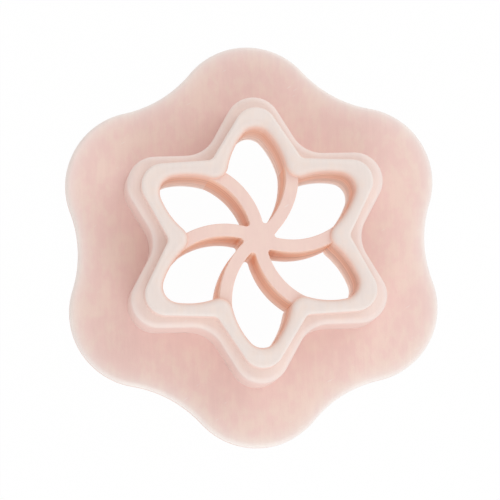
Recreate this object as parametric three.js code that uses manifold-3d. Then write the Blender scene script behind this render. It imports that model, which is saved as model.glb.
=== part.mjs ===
// Flower cookie cutter. A lobed flange carries a star-shaped wall in two steps, a broad foot and a
// narrower rim. Inside the star a pinwheel of curved ribs meets in a hub and parts the petal windows.
// Millimetres, +Z up. The flange's underside lies at z = 0, and the flower's centre is on the Z axis.

import * as THREE from "three";
import { mergeVertices, toCreasedNormals } from "three/addons/utils/BufferGeometryUtils.js";
import Module from "manifold-3d";

// Petals round the flower, one of them pointing along +Y
const petalCount = 6;

// Heights of the layers, one on top of the other, and how far the ribs stay below the rim
const flangeThickness = 2;
const footHeight = 8.2;
const rimHeight = 2.8;
const ribDrop = 1.2;

// Petal windows: leaf shapes with a round tip and bowed flanks. Between two of them the wall has a round
// nose, which points at the centre.
const windowReach = 16.35;
const windowTipRound = 2.4;
const windowFlankRadius = 11.6;
const noseReach = 10.55;
const noseRound = 2.1;

// Rim: its wall beyond the windows at the tips and at the valleys, and the rounds of its outline. Its
// outer edge is crisp, and its inner edge falls into the windows with a larger round.
const rimTipWall = 3;
const rimValleyWall = 3;
const rimTipRound = 3.2;
const rimValleyRound = 1.1;
const rimEdgeRound = 0.4;
const rimMouthRound = 1;

// Foot: the ledge that it leaves round the rim, and the rounds of its outline
const ledgeWidth = 2;
const footTipRound = 4.2;
const footValleyRound = 4.95;
const ledgeEdgeRound = 0.9;

// Flange: its grip beyond the foot's tips, its lobes, and the shallow valleys between them
const gripWidth = 8.85;
const lobeRound = 11.2;
const lobeValleyDepth = 1.6;
const flangeTopRound = 0.6;
const flangeBottomRound = 0.3;

// Pinwheel: the bow is how far a rib swings out of the straight line from the centre to its nose. In the
// hub the ribs run into each other through round crotches, and each leaves it with a short stub.
const ribWidth = 1.9;
const ribBow = 1.3;
const crotchRound = 0.45;
const hubStub = 0.4;

// Gap between a rib and the walls or the hub that it meets
const seam = 0.3;

// Cuts run past the faces that they open by this much
const cutOverrun = 1;

// Steps in the curves
const tipSteps = 10;
const flankSteps = 7;
const valleySteps = 6;
const lobeSteps = 14;
const edgeSteps = 4;
const noseSteps = 6;
const ribSteps = 8;
const crotchSteps = 5;
const stubSteps = 2;
const repeatTolerance = 1e-6;
const creaseAngle = Math.PI / 6;

// Levels and outlines that follow from the sizes above
const petalPitch = (2 * Math.PI) / petalCount;
const petalAxis = Math.PI / 2;
const valleyAxis = petalAxis + petalPitch / 2;
const footLevel = flangeThickness;
const rimLevel = footLevel + footHeight;
const totalHeight = rimLevel + rimHeight;
const ribTop = totalHeight - ribDrop;

const rimStar = {
  tipReach: windowReach + rimTipWall,
  tipRound: rimTipRound,
  valleyReach: noseReach + rimValleyWall,
  valleyRound: rimValleyRound,
};
const footStar = {
  tipReach: rimStar.tipReach + ledgeWidth,
  tipRound: footTipRound,
  valleyReach: rimStar.valleyReach + ledgeWidth,
  valleyRound: footValleyRound,
};

// Middle line of the rib on the +X side: an arc through the flower's centre and the nose
const ribHalf = noseReach / 2;
const ribRadius = (ribHalf ** 2 + ribBow ** 2) / (2 * ribBow);
const ribCentre = new THREE.Vector2(ribHalf, ribRadius - ribBow);
const ribInside = ribRadius - ribWidth / 2;
const ribOutside = ribRadius + ribWidth / 2;

const wasm = await Module();
wasm.setup();

// Vector of a given length and direction
function polar(length, angle) {
  return new THREE.Vector2(Math.cos(angle), Math.sin(angle)).multiplyScalar(length);
}

// Points along a circular arc
function arc(centre, radius, start, end, clockwise, steps) {
  return new THREE.EllipseCurve(centre.x, centre.y, radius, radius, start, end, clockwise).getPoints(steps);
}

// One petal's points repeated round the centre, without the points that neighbouring arcs share
function flower(petalPoints) {
  const centre = new THREE.Vector2();
  const points = [];
  for (let petal = 0; petal < petalCount; petal += 1) {
    for (const point of petalPoints) {
      points.push(point.clone().rotateAround(centre, petal * petalPitch));
    }
  }
  return points.filter((point, i) => point.distanceTo(points.at(i - 1)) > repeatTolerance);
}

// Place where two circles cross, on the left of the way from the first centre to the second
function crossing(first, firstRadius, second, secondRadius) {
  const ahead = second.clone().sub(first);
  const distance = ahead.length();
  const along = (firstRadius ** 2 - secondRadius ** 2 + distance ** 2) / (2 * distance);
  const beside = Math.sqrt(firstRadius ** 2 - along ** 2);
  ahead.normalize();
  const left = new THREE.Vector2(-ahead.y, ahead.x);
  return first.clone().addScaledVector(ahead, along).addScaledVector(left, beside);
}

// Star outline: round tips and round valleys joined by their common tangents, drawn in by an inset
function starOutline({ tipReach, tipRound, valleyReach, valleyRound }, inset, steps) {
  const tipCentre = polar(tipReach - tipRound, petalAxis);
  const valleyCentre = polar(valleyReach + valleyRound, valleyAxis);
  const across = valleyCentre.clone().sub(tipCentre);
  const lean = Math.acos(Math.min(1, (tipRound + valleyRound) / across.length()));
  const flankNormal = across.angle() - lean;
  const tip = arc(tipCentre, tipRound - inset, 2 * petalAxis - flankNormal, flankNormal, false, steps);
  const valleyStart = flankNormal + Math.PI;
  const valleyEnd = 2 * valleyAxis - flankNormal + Math.PI;
  const valley = arc(valleyCentre, valleyRound + inset, valleyStart, valleyEnd, true, valleySteps);
  return flower([...tip, ...valley]);
}

// Flange outline, drawn in by an inset. Each valley is the arc of the given depth that touches the
// lobes on both sides of it, measured from the line across the two lobes.
function lobedOutline(inset) {
  const lobeReach = footStar.tipReach + gripWidth;
  const lobeCentre = polar(lobeReach - lobeRound, petalPitch / 2);
  const halfSpacing = lobeCentre.y;
  const freeSpan = halfSpacing ** 2 - 2 * lobeRound * lobeValleyDepth + lobeValleyDepth ** 2;
  const lobes = {
    tipReach: lobeReach,
    tipRound: lobeRound,
    valleyReach: lobeCentre.x + lobeRound - lobeValleyDepth,
    valleyRound: freeSpan / (2 * lobeValleyDepth),
  };
  return starOutline(lobes, inset, lobeSteps);
}

// Window outline: leaf-shaped petals, grown by an offset. A bowed flank runs smoothly into the arcs of
// the tip and of the nose.
function windowOutline(grow) {
  const tipCentre = polar(windowReach - windowTipRound, petalAxis);
  const noseCentre = polar(noseReach + noseRound, valleyAxis);
  const toTip = windowFlankRadius - windowTipRound;
  const toNose = windowFlankRadius + noseRound;
  const flankCentre = crossing(tipCentre, toTip, noseCentre, toNose);
  const flankStart = tipCentre.clone().sub(flankCentre).angle();
  const flankEnd = noseCentre.clone().sub(flankCentre).angle();
  const flankRadius = windowFlankRadius + grow;
  const leftFlank = arc(flankCentre, flankRadius, flankStart, flankEnd, false, flankSteps);
  const rightFlank = leftFlank.map((point) => new THREE.Vector2(-point.x, point.y)).reverse();
  const tip = arc(tipCentre, windowTipRound + grow, 2 * petalAxis - flankStart, flankStart, false, tipSteps);
  const noseStart = flankEnd + Math.PI;
  const noseEnd = 2 * valleyAxis - noseStart;
  const nose = arc(noseCentre, noseRound - grow, noseStart, noseEnd, true, noseSteps);
  return flower([...rightFlank, ...tip, ...leftFlank, ...nose]);
}

// Round crotch between the ribs of two neighbouring valleys: its centre, and the turns round the ribs'
// centres at which it touches the inside of the first rib and the outside of the second
function ribCrotch() {
  const nextRibCentre = ribCentre.clone().rotateAround(new THREE.Vector2(), petalPitch);
  const centre = crossing(ribCentre, ribInside - crotchRound, nextRibCentre, ribOutside + crotchRound);
  const insideTurn = centre.clone().sub(ribCentre).angle();
  const outsideTurn = centre.clone().sub(nextRibCentre).angle();
  const jointTurn = Math.max(insideTurn, outsideTurn - petalPitch) + hubStub / ribRadius;
  return { centre, nextRibCentre, insideTurn, outsideTurn, jointTurn };
}

// Hub outline: stubs of the ribs, joined by the crotches between them
function hubOutline() {
  const { centre, nextRibCentre, insideTurn, outsideTurn, jointTurn } = ribCrotch();
  const stub = arc(ribCentre, ribInside, jointTurn, insideTurn, true, stubSteps);
  const crotch = arc(centre, crotchRound, insideTurn, outsideTurn - Math.PI, true, crotchSteps);
  const nextStub = arc(nextRibCentre, ribOutside, outsideTurn, jointTurn + petalPitch, false, stubSteps);
  return flower([...stub, ...crotch, ...nextStub]);
}

// Insets and heights of a quarter round below a given level
function edgeRound(radius, level) {
  const steps = [];
  for (let step = 0; step <= edgeSteps; step += 1) {
    const turn = (step / edgeSteps) * (Math.PI / 2);
    steps.push({ inset: radius * (1 - Math.cos(turn)), z: level - radius * (1 - Math.sin(turn)) });
  }
  return steps;
}

// Closed solid through a stack of sections, each an outline with as many points at its own height
function loft(sections) {
  const count = sections[0].outline.length;
  const positions = sections.flatMap(({ outline, z }) => outline.flatMap((point) => [point.x, point.y, z]));
  const triangles = [];
  for (let level = 1; level < sections.length; level += 1) {
    const low = (level - 1) * count;
    const high = level * count;
    for (let i = 0; i < count; i += 1) {
      const next = (i + 1) % count;
      triangles.push(low + i, low + next, high + next);
      triangles.push(low + i, high + next, high + i);
    }
  }
  const top = (sections.length - 1) * count;
  for (const [a, b, c] of THREE.ShapeUtils.triangulateShape(sections[0].outline, [])) {
    triangles.push(c, b, a);
  }
  for (const [a, b, c] of THREE.ShapeUtils.triangulateShape(sections.at(-1).outline, [])) {
    triangles.push(top + a, top + b, top + c);
  }
  const geometry = new THREE.BufferGeometry();
  geometry.setAttribute("position", new THREE.Float32BufferAttribute(positions, 3));
  geometry.setIndex(triangles);
  return geometry;
}

// Closed solid that can be joined and cut
function solid(geometry) {
  const bare = geometry.clone();
  bare.deleteAttribute("normal");
  bare.deleteAttribute("uv");
  const merged = mergeVertices(bare);
  const vertProperties = new Float32Array(merged.attributes.position.array);
  const triVerts = new Uint32Array(merged.index.array);
  return new wasm.Manifold(new wasm.Mesh({ numProp: 3, vertProperties, triVerts }));
}

// Named mesh of a solid in the cutter's pink plastic
function piece(name, body) {
  const { vertProperties, triVerts } = body.getMesh();
  const geometry = new THREE.BufferGeometry();
  geometry.setAttribute("position", new THREE.BufferAttribute(vertProperties, 3));
  geometry.setIndex(new THREE.BufferAttribute(triVerts, 1));
  const plastic = new THREE.MeshStandardMaterial({ color: 0xe9c9bf, roughness: 0.6, metalness: 0 });
  const mesh = new THREE.Mesh(toCreasedNormals(geometry, creaseAngle), plastic);
  mesh.name = name;
  return mesh;
}

// Straight shaft through the petal windows, from below the flange to above the rim
function windowShaft(grow) {
  const outline = windowOutline(grow);
  return solid(
    loft([
      { outline, z: -cutOverrun },
      { outline, z: totalHeight + cutOverrun },
    ]),
  );
}

// Flange plate with rounded edges, open at the windows
function pressFlange() {
  const below = edgeRound(flangeBottomRound, 0)
    .reverse()
    .map(({ inset, z }) => ({ inset, z: -z }));
  const above = edgeRound(flangeTopRound, flangeThickness);
  const sections = [...below, ...above].map(({ inset, z }) => ({ outline: lobedOutline(inset), z }));
  return solid(loft(sections)).subtract(windowShaft(0));
}

// Broad foot of the wall, with a rounded ledge
function wallFoot() {
  const sections = [{ inset: 0, z: footLevel }, ...edgeRound(ledgeEdgeRound, rimLevel)];
  const outlines = sections.map(({ inset, z }) => ({ outline: starOutline(footStar, inset, tipSteps), z }));
  return solid(loft(outlines)).subtract(windowShaft(0));
}

// Narrow rim on the foot, rounded on both sides of its top face
function cuttingRim() {
  const outer = [{ inset: 0, z: rimLevel }, ...edgeRound(rimEdgeRound, totalHeight)];
  const mouth = [
    { inset: 0, z: rimLevel - cutOverrun },
    ...edgeRound(rimMouthRound, totalHeight),
    { inset: rimMouthRound, z: totalHeight + cutOverrun },
  ];
  const blank = outer.map(({ inset, z }) => ({ outline: starOutline(rimStar, inset, tipSteps), z }));
  const opening = mouth.map(({ inset, z }) => ({ outline: windowOutline(inset), z }));
  return solid(loft(blank)).subtract(solid(loft(opening)));
}

// Hub with the stubs of all ribs
function hubBoss() {
  const outline = hubOutline();
  return solid(
    loft([
      { outline, z: 0 },
      { outline, z: ribTop },
    ]),
  );
}

// Curved rib from the hub's stub to the nose on the +X side. Its blank runs on past the nose by the rib's
// width, and the windows' outline then hollows its end to the nose's round.
function petalRib() {
  const start = ribCrotch().jointTurn + seam / ribRadius;
  const end = new THREE.Vector2(noseReach, 0).sub(ribCentre).angle() + ribWidth / ribRadius;
  const outline = new THREE.Shape();
  outline.absarc(ribCentre.x, ribCentre.y, ribOutside, start, end, false);
  outline.absarc(ribCentre.x, ribCentre.y, ribInside, end, start, true);
  const bar = { depth: ribTop, bevelEnabled: false, curveSegments: ribSteps };
  return solid(new THREE.ExtrudeGeometry(outline, bar)).intersect(windowShaft(-seam));
}

const cutter = new THREE.Group();
cutter.name = "cookie_cutter";
cutter.add(piece("press_flange", pressFlange()));
cutter.add(piece("wall_foot", wallFoot()));
cutter.add(piece("cutting_rim", cuttingRim()));
cutter.add(piece("hub_boss", hubBoss()));
const rib = petalRib();
for (let valley = 0; valley < petalCount; valley += 1) {
  const mesh = piece(`petal_rib_${valley + 1}`, rib);
  mesh.rotation.z = valley * petalPitch;
  cutter.add(mesh);
}

export default cutter;
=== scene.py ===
"""Flower cookie cutter: one print in skin-pink plastic, lying with its cutting rim up. A lobed press flange
carries a stepped star wall, and a pinwheel of curved ribs parts the petal windows. Metres, +Z up."""

import cmath
import math
from collections import namedtuple

import bmesh
import bpy
from mathutils import Matrix, Vector
from mathutils.geometry import tessellate_polygon


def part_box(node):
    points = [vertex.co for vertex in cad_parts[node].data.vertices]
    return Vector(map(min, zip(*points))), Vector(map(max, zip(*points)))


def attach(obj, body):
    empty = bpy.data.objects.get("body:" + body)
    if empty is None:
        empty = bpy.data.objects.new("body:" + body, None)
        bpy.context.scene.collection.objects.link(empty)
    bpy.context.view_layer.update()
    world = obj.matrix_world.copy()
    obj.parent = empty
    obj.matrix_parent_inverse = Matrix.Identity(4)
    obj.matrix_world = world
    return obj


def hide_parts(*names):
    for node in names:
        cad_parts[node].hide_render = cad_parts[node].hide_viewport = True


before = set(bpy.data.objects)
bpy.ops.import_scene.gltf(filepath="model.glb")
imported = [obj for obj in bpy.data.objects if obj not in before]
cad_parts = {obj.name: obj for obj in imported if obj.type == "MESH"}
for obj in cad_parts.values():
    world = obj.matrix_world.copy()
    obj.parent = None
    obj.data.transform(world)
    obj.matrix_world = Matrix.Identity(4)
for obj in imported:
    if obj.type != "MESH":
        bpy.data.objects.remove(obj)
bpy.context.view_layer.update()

MM = 0.001

# Petals round the flower, one of them along +Y, and a rib to each valley between two petals
PETALS = 6
PITCH = 2 * math.pi / PETALS
PETAL_AXIS = math.pi / 2
RIB_NODES = [f"petal_rib_{valley + 1}" for valley in range(PETALS)]

# Levels and reaches of the solids
FLANGE_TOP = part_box("press_flange")[1].z
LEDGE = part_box("wall_foot")[1].z
RIM_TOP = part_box("cutting_rim")[1].z
RIB_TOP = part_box("hub_boss")[1].z
LOBE_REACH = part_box("press_flange")[1].y
FOOT_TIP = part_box("wall_foot")[1].y
RIM_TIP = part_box("cutting_rim")[1].y
LEDGE_WIDTH = FOOT_TIP - RIM_TIP

# Outlines: rounds of the star's two steps, of the flange's lobes and of the leaf-shaped windows
RIM_VALLEY = 13.55 * MM
RIM_TIP_ROUND = 3.2 * MM
RIM_VALLEY_ROUND = 1.1 * MM
FOOT_VALLEY = 15.55 * MM
FOOT_TIP_ROUND = 4.2 * MM
FOOT_VALLEY_ROUND = 4.95 * MM
LOBE_ROUND = 11.2 * MM
LOBE_VALLEY_DEPTH = 1.6 * MM
WINDOW_REACH = 16.35 * MM
WINDOW_TIP_ROUND = 2.4 * MM
WINDOW_FLANK_RADIUS = 11.6 * MM
NOSE_REACH = 10.55 * MM
NOSE_ROUND = 2.1 * MM

# Rounded edges, and the narrow flat border next to them
RIM_EDGE = 0.4 * MM
MOUTH_EDGE = 1.0 * MM
LEDGE_EDGE = 0.9 * MM
FLANGE_EDGE = 0.6 * MM
FLANGE_FOOT_EDGE = 0.3 * MM
RIB_EDGE = 0.15 * MM
FLAT_BORDER = 0.12 * MM

# Level at which the walls of the windows start to turn into the rim's top
MOUTH = RIM_TOP - MOUTH_EDGE

# Pinwheel: ribs bow out of the straight line, meet in round crotches and end inside the wall
RIB_WIDTH = 1.9 * MM
RIB_BOW = 1.3 * MM
CROTCH_ROUND = 0.45 * MM
HUB_STUB = 0.4 * MM
RIB_ROOT = 1.5 * MM

# Printed layers: each one bulges a little, and wanders along the wall in waves of the given length, which
# differ from layer to layer
LAYER = 0.2 * MM
GROOVE = 0.018 * MM
WANDER = 0.03 * MM
WANDER_LENGTH = 5 * MM
WANDER_STEP = 0.37

# Outer edges are painted paler, a painted glow for light that shines through the thin plastic and catches
# the round, and inner corners are painted warmer, a painted shade; the plastic's own pink comes back over
# these distances, soonest on the flange's side. The painted glow of the window walls fades over their round
# upper edge, by this power.
EDGE_GLOW_REACH = 1.0 * MM
FLANGE_SIDE_GLOW_REACH = 0.45 * MM
CREASE_SHADE_REACH = 1.2 * MM
GLOW_POWER = 4

# Flat tops have more rings of points at these distances, so that the fades follow their outlines
FLANGE_RINGS = [ring * MM for ring in (1, 1.5, 2.2, 3.2)]
LEDGE_RINGS = [ring * MM for ring in (1.4, 2)]
FOOT_RINGS = [ring * MM for ring in (3.2, 2.4, 1.6, 1, 0.5, 0.2, 0)]

# Steps in the curves, the turn from which an edge counts as sharp, and the shortest straight flank
SHARP_ANGLE = math.radians(50)
SHORTEST_FLANK = 0.12 * MM
TIP_STEPS = 16
FLANK_STEPS = 12
VALLEY_STEPS = 10
LOBE_STEPS = 40
LEAF_STEPS = 16
NOSE_STEPS = 8
EDGE_STEPS = 5
RIB_STEPS = 28
CROTCH_STEPS = 6
STUB_STEPS = 4


def arc(centre, radius, start, end, steps):
    """Points along a circular arc."""
    return [centre + cmath.rect(radius, start + (end - start) * i / steps) for i in range(steps + 1)]


def straight(start, end, steps):
    """Points between two ends, without the ends."""
    return [start + (end - start) * i / steps for i in range(1, steps)]


def crossing(first, first_radius, second, second_radius):
    """Place where two circles cross, on the left of the way from the first centre to the second."""
    way = second - first
    span = abs(way)
    along = (first_radius**2 - second_radius**2 + span**2) / (2 * span)
    return first + way / span * complex(along, math.sqrt(first_radius**2 - along**2))


def flower(petal):
    """Closed outline of one petal's points repeated round the centre, from a petal on the X axis."""
    return [point * cmath.rect(1, PETAL_AXIS + PITCH * i) for i in range(PETALS) for point in petal]


def star_outline(tip, tip_round, valley, valley_round, inset, tip_steps=TIP_STEPS):
    """Round tips and round valleys joined by their common tangents, drawn in by an inset."""
    tip_centre = complex(tip - tip_round, 0)
    valley_axis = PITCH / 2
    valley_centre = cmath.rect(valley + valley_round, valley_axis)
    across = valley_centre - tip_centre
    normal = cmath.phase(across) - math.acos(min(1, (tip_round + valley_round) / abs(across)))
    tip_arc = arc(tip_centre, tip_round - inset, -normal, normal, tip_steps)
    hollow = arc(
        valley_centre,
        valley_round + inset,
        normal + math.pi,
        2 * valley_axis - normal + math.pi,
        VALLEY_STEPS,
    )
    next_tip = tip_arc[0] * cmath.rect(1, PITCH)
    if abs(hollow[0] - tip_arc[-1]) < SHORTEST_FLANK:
        return flower(tip_arc + hollow[1:-1])
    flank_down = straight(tip_arc[-1], hollow[0], FLANK_STEPS)
    flank_up = straight(hollow[-1], next_tip, FLANK_STEPS)
    return flower(tip_arc + flank_down + hollow + flank_up)


def rim_outline(inset):
    return star_outline(RIM_TIP, RIM_TIP_ROUND, RIM_VALLEY, RIM_VALLEY_ROUND, inset)


def foot_outline(inset):
    return star_outline(FOOT_TIP, FOOT_TIP_ROUND, FOOT_VALLEY, FOOT_VALLEY_ROUND, inset)


def flange_outline(inset):
    """Lobes, and between them the arc of the given depth that touches both."""
    lobe_centre = cmath.rect(LOBE_REACH - LOBE_ROUND, PITCH / 2)
    depth = LOBE_VALLEY_DEPTH
    valley = lobe_centre.real + LOBE_ROUND - depth
    valley_round = (lobe_centre.imag**2 - 2 * LOBE_ROUND * depth + depth**2) / (2 * depth)
    return star_outline(LOBE_REACH, LOBE_ROUND, valley, valley_round, inset, LOBE_STEPS)


def window_outline(grow):
    """Leaf-shaped petals: bowed flanks that run smoothly into a round tip and the wall's round noses."""
    tip_centre = complex(WINDOW_REACH - WINDOW_TIP_ROUND, 0)
    nose_axis = PITCH / 2
    nose_centre = cmath.rect(NOSE_REACH + NOSE_ROUND, nose_axis)
    to_tip = WINDOW_FLANK_RADIUS - WINDOW_TIP_ROUND
    to_nose = WINDOW_FLANK_RADIUS + NOSE_ROUND
    flank_centre = crossing(tip_centre, to_tip, nose_centre, to_nose)
    start = cmath.phase(tip_centre - flank_centre)
    end = cmath.phase(nose_centre - flank_centre)
    flank = arc(flank_centre, WINDOW_FLANK_RADIUS + grow, start, end, LEAF_STEPS)
    tip = arc(tip_centre, WINDOW_TIP_ROUND + grow, -start, start, TIP_STEPS)
    nose = arc(nose_centre, NOSE_ROUND - grow, end + math.pi, 2 * nose_axis - end + math.pi, NOSE_STEPS)
    other_flank = [point.conjugate() for point in reversed(flank)]
    return flower(other_flank[1:-1] + tip + flank[1:-1] + nose)


# Middle line of the rib on the X axis, an arc through the centre of the flower and the nose
RIB_HALF = NOSE_REACH / 2
RIB_RADIUS = (RIB_HALF**2 + RIB_BOW**2) / (2 * RIB_BOW)
RIB_CENTRE = complex(RIB_HALF, RIB_RADIUS - RIB_BOW)
NEXT_RIB_CENTRE = RIB_CENTRE * cmath.rect(1, PITCH)
RIB_END = cmath.phase(NOSE_REACH - RIB_CENTRE) + RIB_ROOT / RIB_RADIUS


def rib_crotch(inset):
    """Round crotch between two ribs: its centre and round, and the turns at which it touches their sides."""
    inside = RIB_RADIUS - RIB_WIDTH / 2 + inset
    outside = RIB_RADIUS + RIB_WIDTH / 2 - inset
    crotch_round = CROTCH_ROUND + inset
    centre = crossing(RIB_CENTRE, inside - crotch_round, NEXT_RIB_CENTRE, outside + crotch_round)
    inside_turn = cmath.phase(centre - RIB_CENTRE)
    outside_turn = cmath.phase(centre - NEXT_RIB_CENTRE)
    return centre, crotch_round, inside_turn, outside_turn


# Turn along the middle line at which the hub's stubs end and the ribs start, a little outside the crotches
INSIDE_TURN, OUTSIDE_TURN = rib_crotch(0)[2:]
JOINT_TURN = max(INSIDE_TURN, OUTSIDE_TURN - PITCH) + HUB_STUB / RIB_RADIUS


def rib_outline(inset):
    """Curved bar from its joint with the hub to its root in the wall, narrowed by an inset."""
    half_width = RIB_WIDTH / 2 - inset
    outside = arc(RIB_CENTRE, RIB_RADIUS + half_width, JOINT_TURN, RIB_END, RIB_STEPS)
    inside = arc(RIB_CENTRE, RIB_RADIUS - half_width, RIB_END, JOINT_TURN, RIB_STEPS)
    return outside + inside


def hub_outline(inset):
    """Stubs of the six ribs, joined by the crotches between them, narrowed by an inset."""
    half_width = RIB_WIDTH / 2 - inset
    centre, crotch_round, inside_turn, outside_turn = rib_crotch(inset)
    stub = arc(RIB_CENTRE, RIB_RADIUS - half_width, JOINT_TURN, inside_turn, STUB_STEPS)
    crotch = arc(centre, crotch_round, inside_turn, outside_turn - math.pi, CROTCH_STEPS)
    next_stub = arc(NEXT_RIB_CENTRE, RIB_RADIUS + half_width, outside_turn, JOINT_TURN + PITCH, STUB_STEPS)
    stretch = stub + crotch[1:-1] + next_stub
    return [point * cmath.rect(1, PITCH * i) for i in range(PETALS) for point in stretch]


# Outline of a piece at one level, by its function and inset. Relief is 1 where printed layers show, pale is
# 1 on an outer edge, where a paler glow is painted, and crease is 1 in an inner corner, where warm shade is
# painted.
Section = namedtuple("Section", "outline inset z relief pale crease", defaults=(0, 0, 0))


def nearness(distance, reach):
    """1 at no distance, less and less over the reach and beyond it."""
    return math.exp(-distance / reach)


def edge(outline, radius, level, rings=(), width=math.inf):
    """Sections of a rounded upper edge, with a narrow flat border and further rings inside it, up to the
    width at which another wall stands."""
    sections = []
    # The round and the rings carry a painted paler glow that fades inward from the edge, and the rings carry
    # a painted warm shade that rises towards the wall standing at the width
    for step in range(EDGE_STEPS + 1):
        turn = step / EDGE_STEPS * math.pi / 2
        inset = radius * (1 - math.cos(turn))
        z = level - radius * (1 - math.sin(turn))
        sections.append(Section(outline, inset, z, 0, nearness(inset, EDGE_GLOW_REACH)))
    for inset in (radius + FLAT_BORDER, *rings):
        pale = nearness(inset, EDGE_GLOW_REACH)
        crease = nearness(width - inset, CREASE_SHADE_REACH)
        sections.append(Section(outline, inset, level, 0, pale, crease))
    return sections


def wall(outline, bottom, top, stands=False, edge_glow_reach=EDGE_GLOW_REACH):
    """Sections of an upright wall, two to each printed layer, with the layers' relief on them. It has a
    paler glow painted near its upper edge, and warm shade painted in the crease where it stands on another
    piece."""
    halves = round((top - bottom) / LAYER) * 2
    levels = [bottom + (top - bottom) * i / halves for i in range(halves)]
    return [
        Section(outline, 0, z, 1, nearness(top - z, edge_glow_reach), stands * nearness(z - bottom, CREASE_SHADE_REACH))
        for z in levels
    ]


def fill(bm, outer, inner):
    """Flat faces between two rings of points, worked out in millimetres, because points that lie closer
    than a few hundredths of a unit are taken for one."""
    corners = outer + inner
    for face in tessellate_polygon([[vert.co / MM for vert in ring] for ring in (outer, inner)]):
        bm.faces.new([corners[i] for i in face])


def at_corner(points, i):
    """Whether a closed outline turns sharply at a point. Layers have no relief there, so that two pieces
    which meet at their corners leave no gap."""
    before = points[i] - points[i - 1]
    after = points[(i + 1) % len(points)] - points[i]
    return abs(cmath.phase(after / before)) > SHARP_ANGLE


def shell(name, outside, windows=(), inside=False):
    """Closed mesh through a stack of outlines, open along a second stack round the windows. The outside of
    a piece that stands inside the windows is a window wall too, and the painted glow of both fades out over
    their upper edge. Outer surfaces carry the weights of the painted edge glow and the painted crease shade."""
    upper_edge = RIB_EDGE if inside else MOUTH_EDGE
    bm = bmesh.new()
    grooved = bm.verts.layers.float.new("grooved")
    window_wall = bm.verts.layers.float.new("window_wall")
    painted_edge_glow = bm.verts.layers.float.new("painted_edge_glow")
    painted_crease_shade = bm.verts.layers.float.new("painted_crease_shade")
    ends = []
    for stack in (outside, windows):
        rings = []
        for section in stack:
            points = section.outline(section.inset)
            ring = [bm.verts.new((point.real, point.imag, section.z)) for point in points]
            for i, vert in enumerate(ring):
                vert[grooved] = 0 if at_corner(points, i) else section.relief
                # Weights of the painted glow on window walls, and of the painted edge glow and painted
                # crease shade outside
                if stack is windows or inside:
                    vert[window_wall] = max(0, 1 - section.inset / upper_edge) ** GLOW_POWER
                else:
                    vert[painted_edge_glow] = section.pale
                    vert[painted_crease_shade] = section.crease
            rings.append(ring)
        for step in range(1, len(rings)):
            low, high = rings[step - 1 : step + 1]
            if stack[step - 1].outline is not stack[step].outline:
                fill(bm, low, high)
                continue
            for i in range(len(low)):
                bm.faces.new((low[i - 1], low[i], high[i], high[i - 1]))
        if rings:
            ends.append((rings[0], rings[-1]))
    for cap in zip(*ends):
        fill(bm, cap[0], cap[1] if len(cap) > 1 else [])
    bmesh.ops.recalc_face_normals(bm, faces=bm.faces)
    mesh = bpy.data.meshes.new(name)
    bm.to_mesh(mesh)
    bm.free()
    return mesh


class Socket:
    """One output of a node. Arithmetic on it adds Math nodes to its tree."""

    def __init__(self, graph, output):
        self.graph = graph
        self.output = output

    def out(self, name):
        """Another output of the same node."""
        return Socket(self.graph, pick(self.output.node.outputs, name))

    def maths(self, operation, *values):
        return self.graph.node("ShaderNodeMath", {"operation": operation}, dict(enumerate(values)))

    def __add__(self, other):
        return self.maths("ADD", self, other)

    def __sub__(self, other):
        return self.maths("SUBTRACT", self, other)

    def __rsub__(self, other):
        return self.maths("SUBTRACT", other, self)

    def __mul__(self, other):
        return self.maths("MULTIPLY", self, other)

    def __truediv__(self, other):
        return self.maths("DIVIDE", self, other)

    __radd__ = __add__
    __rmul__ = __mul__


def pick(sockets, key):
    """Socket by its place in the list, or by its name among those in use."""
    if isinstance(key, int):
        return sockets[key]
    return next(socket for socket in sockets if socket.enabled and socket.name == key)


class Graph:
    """Node tree that is filled by calls and expressions."""

    def __init__(self, tree):
        self.tree = tree

    def node(self, kind, settings=None, sockets=None):
        """New node with its settings, then the values or links of its sockets. Gives its first output."""
        made = self.tree.nodes.new(kind)
        for name, value in (settings or {}).items():
            setattr(made, name, value)
        for key, value in (sockets or {}).items():
            socket = pick(made.inputs, key)
            if isinstance(value, Socket):
                self.tree.links.new(value.output, socket)
            else:
                socket.default_value = value
        used = [socket for socket in made.outputs if socket.enabled]
        return Socket(self, used[0]) if used else None


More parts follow.
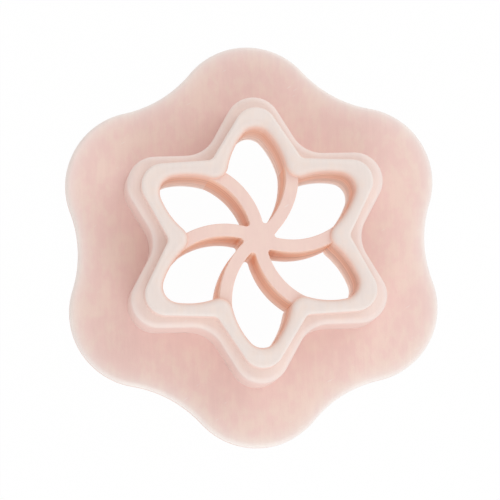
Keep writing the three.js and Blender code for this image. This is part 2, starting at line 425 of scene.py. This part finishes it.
def print_layers():
    """Tree that turns a piece about the flower's axis and gives its walls the relief of printed layers."""
    tree = bpy.data.node_groups.new("print_layers", "GeometryNodeTree")
    for name, kind in (
        ("Piece", "NodeSocketGeometry"),
        ("Turn", "NodeSocketFloat"),
        ("Layer Height", "NodeSocketFloat"),
        ("Groove Depth", "NodeSocketFloat"),
        ("Wander", "NodeSocketFloat"),
        ("Plastic", "NodeSocketMaterial"),
    ):
        tree.interface.new_socket(name, in_out="INPUT", socket_type=kind)
    tree.interface.new_socket("Printed", in_out="OUTPUT", socket_type="NodeSocketGeometry")

    graph = Graph(tree)
    given = graph.node("NodeGroupInput")
    spin = graph.node("ShaderNodeCombineXYZ", sockets={"Z": given.out("Turn")})
    turned = graph.node("GeometryNodeTransform", sockets={"Geometry": given, "Rotation": spin})

    position = graph.node("GeometryNodeInputPosition")
    layers = graph.node("ShaderNodeSeparateXYZ", sockets={0: position}).out("Z") / given.out("Layer Height")
    number = layers.maths("FLOOR", layers)
    phase = layers - number
    groove = 1 - 4 * phase * (1 - phase)

    spread = graph.node(
        "ShaderNodeVectorMath", {"operation": "SCALE"}, {0: position, "Scale": 1 / WANDER_LENGTH}
    )
    drift = graph.node(
        "ShaderNodeTexNoise",
        {"noise_dimensions": "4D"},
        {"Vector": spread, "W": number * WANDER_STEP, "Scale": 1.0, "Detail": 1.0},
    )
    depth = given.out("Groove Depth") * groove + given.out("Wander") * drift
    relief = graph.node("GeometryNodeInputNamedAttribute", {"data_type": "FLOAT"}, {"Name": "grooved"})
    normal = graph.node("GeometryNodeInputNormal")
    level = graph.node("ShaderNodeVectorMath", {"operation": "MULTIPLY"}, {0: normal, 1: (1, 1, 0)})
    shift = graph.node(
        "ShaderNodeVectorMath", {"operation": "SCALE"}, {0: level, "Scale": depth * relief * -1}
    )
    printed = graph.node("GeometryNodeSetPosition", sockets={"Geometry": turned, "Offset": shift})
    real = graph.node("GeometryNodeRealizeInstances", sockets={"Geometry": printed})
    coloured = graph.node(
        "GeometryNodeSetMaterial", sockets={"Geometry": real, "Material": given.out("Plastic")}
    )
    graph.node("NodeGroupOutput", sockets={"Printed": coloured})
    return tree


PRINT_LAYERS = print_layers()


def printed_piece(name, mesh, plastic, nodes, turn=0.0):
    """Piece in the cutter's plastic, printed in layers, that stands for its solids."""
    blank = bpy.data.objects.new(f"{name}_blank", mesh)
    bpy.context.collection.objects.link(blank)
    modifier = blank.modifiers.new("layers", "NODES")
    modifier.node_group = PRINT_LAYERS
    sizes = {
        "Turn": turn,
        "Layer Height": LAYER,
        "Groove Depth": GROOVE,
        "Wander": WANDER,
        "Plastic": plastic,
    }
    for item in PRINT_LAYERS.interface.items_tree:
        if item.name in sizes:
            modifier[item.identifier] = sizes[item.name]
    shapes = bpy.context.evaluated_depsgraph_get()
    printed = bpy.data.meshes.new_from_object(blank.evaluated_get(shapes))
    bpy.data.objects.remove(blank)
    printed.name = name
    printed.shade_smooth()
    printed.set_sharp_from_angle(angle=SHARP_ANGLE)
    piece = bpy.data.objects.new(name, printed)
    bpy.context.collection.objects.link(piece)
    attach(piece, "root")
    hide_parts(*nodes)


def colour(red, green, blue):
    """Linear colour of a colour as it shows on screen, from 0 to 255."""
    shown = [level / 255 for level in (red, green, blue)]
    linear = [((c + 0.055) / 1.055) ** 2.4 if c > 0.04045 else c / 12.92 for c in shown]
    return (*linear, 1)


# Finish of the plastic: sizes of its patches, streaks, scuffs, bands and grain along X, Y and Z
MOTTLE_SIZE = (7 * MM, 9 * MM, 7 * MM)
BLOTCH_SIZE = (1.3 * MM, 2.2 * MM, 1.3 * MM)
STREAK_SIZE = (0.45 * MM, 4 * MM, 4 * MM)
SCUFF_SIZE = (0.3 * MM, 2.4 * MM, 1 * MM)
SCUFF_TURN = math.radians(60)
BAND_SIZE = (25 * MM, 25 * MM, 0.7 * MM)
GRAIN_SIZE = (0.25 * MM, 0.25 * MM, 0.25 * MM)
FINE_DETAIL = 3.0
GRAIN_DETAIL = 2.0
SCUFF_DETAIL = 1.0

# Levels of the noise, which swings about its mean, between which cream patches and pale scuffs come up
NOISE_MEAN = 0.5
MOTTLE_WEIGHT = 0.4
BLOTCH_WEIGHT = 0.6
PATCH_LEVELS = (0.42, 0.62)
SCUFF_LEVELS = (0.74, 0.82)
SCUFF_SHARE = 0.5
# Near-white, painted as a paler glow on outer edges, and the colour of the scuffs
EDGE_GLOW_AND_SCUFF = colour(241, 236, 231)
MOTTLE_CREAM = colour(235, 213, 198)

# How much the noises change tone, roughness and relief. A surface whose normal rises this far is a top.
PATCH_TONE = 0.07
STREAK_TONE = 0.07
SIDE_BANDS = 0.1
WINDOW_BANDS = 0.8
ROUGHNESS = 0.5
GRAIN_ROUGHNESS = 0.12
MOTTLE_ROUGHNESS = 0.1
STREAK_RELIEF = 0.012 * MM
GRAIN_RELIEF = 0.006 * MM
TOP_RISE = 0.65
PLASTIC_IOR = 1.46

# Painted glow of the walls in the windows, for light that comes through the plastic and up from the floor:
# colours at the ground, from the deep level on, where it is painted a deeper orange as shade, and at the
# mouth, where they start to change this far below its level
Glow = namedtuple("Glow", "ground deep deep_level mouth mouth_level")
MOUTH_REACH = 4 * MM
WALL_GLOW = Glow(
    ground=colour(255, 238, 229),
    deep=colour(242, 198, 172),
    deep_level=8.5 * MM,
    mouth=colour(245, 211, 196),
    mouth_level=MOUTH,
)
RIB_GLOW = Glow(
    ground=colour(247, 214, 199),
    deep=colour(244, 190, 154),
    deep_level=6 * MM,
    mouth=colour(251, 220, 201),
    mouth_level=RIB_TOP,
)


def printed_plastic(name, top, side, crease, edge_glow_share, mottle_share, glow):
    """Matte print: tops, sides and creases differ a little in colour, sides painted lighter or warmer for
    the light that falls on them and creases painted warm as shade, tops have patches of cream, and outer
    edges have a painted paler glow. Walls in the windows have a painted glow, for light that comes through
    the plastic."""
    material = bpy.data.materials.new(name)
    material.use_nodes = True
    material.node_tree.nodes.clear()
    graph = Graph(material.node_tree)
    place = graph.node("ShaderNodeTexCoord").out("Object")

    def noise(size, detail, turn=0.0):
        """Noise with features of the given size along each axis, turned about the upright one."""
        turned = graph.node(
            "ShaderNodeMapping", {"vector_type": "POINT"}, {"Vector": place, "Rotation": (0, 0, turn)}
        )
        scaled = graph.node(
            "ShaderNodeMapping", {"vector_type": "POINT"}, {"Vector": turned, "Scale": [1 / s for s in size]}
        )
        return graph.node("ShaderNodeTexNoise", None, {"Vector": scaled, "Scale": 1.0, "Detail": detail})

    def mixed(factor, first, second):
        return graph.node(
            "ShaderNodeMix",
            {"data_type": "RGBA", "clamp_factor": True},
            {"Factor": factor, "A": first, "B": second},
        )

    facing = graph.node("ShaderNodeNewGeometry").out("Normal")
    upright = graph.node("ShaderNodeSeparateXYZ", None, {0: facing}).out("Z")
    height = graph.node("ShaderNodeSeparateXYZ", None, {0: place}).out("Z")

    def fade(value, start, end):
        """0 up to the start, 1 from the end on, and smooth between them."""
        return graph.node(
            "ShaderNodeMapRange", {"interpolation_type": "SMOOTHSTEP"}, {"Value": value, 1: start, 2: end}
        )

    flat = fade(upright, 0, TOP_RISE)
    # Weights of the painted glow on window walls, of the painted edge glow and of the painted crease shade
    on_window = graph.node("ShaderNodeAttribute", {"attribute_name": "window_wall"}).out("Fac")
    pale = graph.node("ShaderNodeAttribute", {"attribute_name": "painted_edge_glow"}).out("Fac")
    crease_shade_weight = graph.node("ShaderNodeAttribute", {"attribute_name": "painted_crease_shade"}).out("Fac")

    mottle = noise(MOTTLE_SIZE, FINE_DETAIL)
    blotch = noise(BLOTCH_SIZE, FINE_DETAIL)
    streak = noise(STREAK_SIZE, FINE_DETAIL)
    scuff = noise(SCUFF_SIZE, SCUFF_DETAIL, SCUFF_TURN)
    band = noise(BAND_SIZE, FINE_DETAIL)
    grain = noise(GRAIN_SIZE, GRAIN_DETAIL)

    # Painted glow of the window walls: paler at the ground, a deeper orange higher up as shade, paler at the
    # mouth
    deep = mixed(fade(height, 0, glow.deep_level), glow.ground, glow.deep)
    at_mouth = fade(height, glow.mouth_level - MOUTH_REACH, glow.mouth_level)
    glowing = mixed(at_mouth, deep, glow.mouth)
    patches = fade(MOTTLE_WEIGHT * mottle + BLOTCH_WEIGHT * blotch, *PATCH_LEVELS)
    mottled = mixed(patches * mottle_share, top, MOTTLE_CREAM)
    scuffed = mixed(fade(scuff, *SCUFF_LEVELS) * SCUFF_SHARE, mottled, EDGE_GLOW_AND_SCUFF)
    # Sides take a colour painted for the light on them, window walls the painted glow, creases the painted
    # warm shade and outer edges the painted paler glow
    plain = mixed(on_window, mixed(flat, side, scuffed), glowing)
    base = mixed(pale * edge_glow_share, mixed(crease_shade_weight, plain, crease), EDGE_GLOW_AND_SCUFF)
    patchy = PATCH_TONE * (mottle + blotch - 2 * NOISE_MEAN)
    streaky = flat * (STREAK_TONE * (streak - NOISE_MEAN))
    banding = (1 - flat) * (SIDE_BANDS + WINDOW_BANDS * on_window * (1 - at_mouth))
    tone = 1 + patchy + streaky + banding * (band - NOISE_MEAN)
    shaded = graph.node("ShaderNodeVectorMath", {"operation": "SCALE"}, {0: base, "Scale": tone})
    grainy = GRAIN_ROUGHNESS * (grain - NOISE_MEAN)
    roughness = ROUGHNESS + grainy + MOTTLE_ROUGHNESS * (mottle - NOISE_MEAN)
    relief = flat * streak * STREAK_RELIEF + grain * GRAIN_RELIEF
    bump = graph.node("ShaderNodeBump", None, {"Height": relief, "Strength": 1.0, "Distance": 1.0})
    plastic = graph.node(
        "ShaderNodeBsdfPrincipled",
        None,
        {"Base Color": shaded, "Roughness": roughness, "IOR": PLASTIC_IOR, "Normal": bump},
    )
    graph.node("ShaderNodeOutputMaterial", None, {"Surface": plastic})
    return material


# One plastic in four lit and shaded copies: the rim's top is painted paler and the flange and ribs pinker,
# for how light falls on thin and thick parts, and sides and creases are painted for their light and shade
FLANGE_PINK = printed_plastic(
    "flange_pink",
    top=colour(235, 202, 194),
    side=colour(233, 205, 196),
    crease=colour(237, 204, 197),
    edge_glow_share=0.9,
    mottle_share=0.6,
    glow=WALL_GLOW,
)
FOOT_PINK = printed_plastic(
    "foot_pink",
    top=colour(238, 217, 209),
    side=colour(237, 210, 202),
    crease=colour(239, 222, 214),
    edge_glow_share=0.25,
    mottle_share=0.3,
    glow=WALL_GLOW,
)
RIM_PINK = printed_plastic(
    "rim_pink",
    top=colour(234, 221, 214),
    side=colour(242, 213, 203),
    crease=colour(241, 214, 204),
    edge_glow_share=0.3,
    mottle_share=0.3,
    glow=WALL_GLOW,
)
RIB_PINK = printed_plastic(
    "rib_pink",
    top=colour(238, 209, 199),
    side=colour(252, 234, 222),
    crease=colour(238, 209, 199),
    edge_glow_share=0.0,
    mottle_share=0.3,
    glow=RIB_GLOW,
)


def press_flange():
    above = edge(flange_outline, FLANGE_FOOT_EDGE, 0, FLANGE_RINGS)
    under = [section._replace(z=-section.z, pale=0) for section in reversed(above)]
    side = wall(
        flange_outline,
        FLANGE_FOOT_EDGE + LAYER,
        FLANGE_TOP - FLANGE_EDGE,
        edge_glow_reach=FLANGE_SIDE_GLOW_REACH,
    )
    # Rings round the foot carry the painted warm crease shade on the flange
    round_foot = [
        Section(foot_outline, -gap, FLANGE_TOP, crease=nearness(gap, CREASE_SHADE_REACH)) for gap in FOOT_RINGS
    ]
    outside = under + side + edge(flange_outline, FLANGE_EDGE, FLANGE_TOP, FLANGE_RINGS) + round_foot
    windows = wall(window_outline, 0, FLANGE_TOP) + [Section(window_outline, 0, FLANGE_TOP)]
    mesh = shell("press_flange", outside, windows)
    printed_piece("flange", mesh, FLANGE_PINK, ["press_flange"])


def wall_foot():
    side = wall(foot_outline, FLANGE_TOP, LEDGE - LEDGE_EDGE, stands=True)
    outside = side + edge(foot_outline, LEDGE_EDGE, LEDGE, LEDGE_RINGS, LEDGE_WIDTH)
    windows = wall(window_outline, FLANGE_TOP, LEDGE) + [Section(window_outline, 0, LEDGE)]
    mesh = shell("wall_foot", outside, windows)
    printed_piece("foot", mesh, FOOT_PINK, ["wall_foot"])


def cutting_rim():
    side = wall(rim_outline, LEDGE, RIM_TOP - RIM_EDGE, stands=True)
    outside = side + edge(rim_outline, RIM_EDGE, RIM_TOP)
    windows = wall(window_outline, LEDGE, MOUTH) + edge(window_outline, MOUTH_EDGE, RIM_TOP)
    mesh = shell("cutting_rim", outside, windows)
    printed_piece("rim", mesh, RIM_PINK, ["cutting_rim"])


def hub_boss():
    outside = wall(hub_outline, 0, RIB_TOP - RIB_EDGE) + edge(hub_outline, RIB_EDGE, RIB_TOP)
    mesh = shell("hub_boss", outside, inside=True)
    printed_piece("hub", mesh, RIB_PINK, ["hub_boss"])


def petal_ribs():
    outside = wall(rib_outline, 0, RIB_TOP - RIB_EDGE) + edge(rib_outline, RIB_EDGE, RIB_TOP)
    blank = shell("rib", outside, inside=True)
    for valley, node in enumerate(RIB_NODES):
        printed_piece(f"rib_{valley + 1}", blank, RIB_PINK, [node], turn=valley * PITCH)


press_flange()
wall_foot()
cutting_rim()
hub_boss()
petal_ribs()


# Camera: long lens a little off the vertical, and the flower's centre a little off the picture's
CAMERA_DISTANCE = 700 * MM
CAMERA_TILT = math.radians(9.2)
CAMERA_SIDE = math.radians(229.5)
CAMERA_ROLL = math.radians(2.05)
CAMERA_AIM = Vector((-0.17 * MM, -0.33 * MM, 0))
CAMERA_LENS = 336
CAMERA_SENSOR = 36
CAMERA_NEAR = 0.01
CAMERA_FAR = 10


def photo_camera():
    data = bpy.data.cameras.new("photo_camera")
    data.lens = CAMERA_LENS
    data.sensor_width = CAMERA_SENSOR
    data.clip_start = CAMERA_NEAR
    data.clip_end = CAMERA_FAR
    camera = bpy.data.objects.new("photo_camera", data)
    bpy.context.collection.objects.link(camera)
    lean = CAMERA_DISTANCE * math.sin(CAMERA_TILT)
    rise = CAMERA_DISTANCE * math.cos(CAMERA_TILT)
    place = Vector((lean * math.cos(CAMERA_SIDE), lean * math.sin(CAMERA_SIDE), rise))
    back = (place - CAMERA_AIM).normalized()
    right = Vector((math.sin(CAMERA_ROLL), math.cos(CAMERA_ROLL), 0)).cross(back).normalized()
    up = back.cross(right)
    camera.matrix_world = Matrix.Translation(place) @ Matrix((right, up, back)).transposed().to_4x4()
    bpy.context.scene.camera = camera


photo_camera()

# Light: two large soft lamps, from the front and from the right, and an even fill. The lamps are a little
# cool and the fill is warm, which makes white light together and warm shadows.
LAMP_DISTANCE = 0.45
LAMP_SIZE = 0.4
LAMP_RISE = math.radians(35)
LAMP_COLOUR = (0.88, 1.0, 1.05)
FRONT_SIDE = math.radians(270)
FRONT_SHARE = 0.2
RIGHT_SIDE = math.radians(45)
RIGHT_SHARE = 0.17
FILL_SHARE = 0.75
FILL_COLOUR = (1.0, 0.93, 0.91, 1)

# Floor: white paper that glows, by one share as it is seen and by another as it lights the cutter
WHITE = (1, 1, 1, 1)
PAPER = (0.9, 0.9, 0.9, 1)
FLOOR_SIZE = 4.0
FLOOR_DROP = 0.01 * MM
FLOOR_GLOW = 0.98
FLOOR_BOUNCE = 0.92


def soft_lamp(name, side, share):
    """Large square lamp that gives a level surface the given share of full light."""
    data = bpy.data.lights.new(name, "AREA")
    data.size = LAMP_SIZE
    data.energy = share * math.pi**2 * LAMP_DISTANCE**2 / math.sin(LAMP_RISE)
    data.color = LAMP_COLOUR
    lamp = bpy.data.objects.new(name, data)
    bpy.context.collection.objects.link(lamp)
    level = LAMP_DISTANCE * math.cos(LAMP_RISE)
    lamp.location = (level * math.cos(side), level * math.sin(side), LAMP_DISTANCE * math.sin(LAMP_RISE))
    lamp.rotation_euler = lamp.location.to_track_quat("Z", "Y").to_euler()


def seen_directly(graph):
    """1 for rays that show the background to the eye, as itself or in a reflection."""
    path = graph.node("ShaderNodeLightPath")
    seen = path.out("Is Camera Ray") + path.out("Is Glossy Ray") + path.out("Is Transmission Ray")
    return seen.maths("MINIMUM", seen, 1)


def white_surround():
    world = bpy.data.worlds.new("white_surround")
    bpy.context.scene.world = world
    world.use_nodes = True
    world.node_tree.nodes.clear()
    graph = Graph(world.node_tree)
    seen = seen_directly(graph)
    tint = graph.node("ShaderNodeMix", {"data_type": "RGBA"}, {"Factor": seen, "A": FILL_COLOUR, "B": WHITE})
    strength = FILL_SHARE + (1 - FILL_SHARE) * seen
    glow = graph.node("ShaderNodeBackground", None, {"Color": tint, "Strength": strength})
    graph.node("ShaderNodeOutputWorld", None, {"Surface": glow})


def white_floor():
    material = bpy.data.materials.new("white_floor")
    material.use_nodes = True
    material.node_tree.nodes.clear()
    graph = Graph(material.node_tree)
    paper = graph.node("ShaderNodeBsdfDiffuse", None, {"Color": PAPER})
    glow = graph.node("ShaderNodeEmission", None, {"Color": WHITE, "Strength": 1.0})
    factor = FLOOR_BOUNCE + (FLOOR_GLOW - FLOOR_BOUNCE) * seen_directly(graph)
    surface = graph.node("ShaderNodeMixShader", None, {"Fac": factor, 1: paper, 2: glow})
    graph.node("ShaderNodeOutputMaterial", None, {"Surface": surface})

    mesh = bpy.data.meshes.new("floor")
    half = FLOOR_SIZE / 2
    corners = [(-half, -half), (half, -half), (half, half), (-half, half)]
    mesh.from_pydata([(x, y, -FLOOR_DROP) for x, y in corners], [], [(0, 1, 2, 3)])
    mesh.materials.append(material)
    floor = bpy.data.objects.new("floor", mesh)
    bpy.context.collection.objects.link(floor)


soft_lamp("front_lamp", FRONT_SIDE, FRONT_SHARE)
soft_lamp("right_lamp", RIGHT_SIDE, RIGHT_SHARE)
white_surround()
white_floor()
bpy.context.scene.view_settings.view_transform = "Standard"
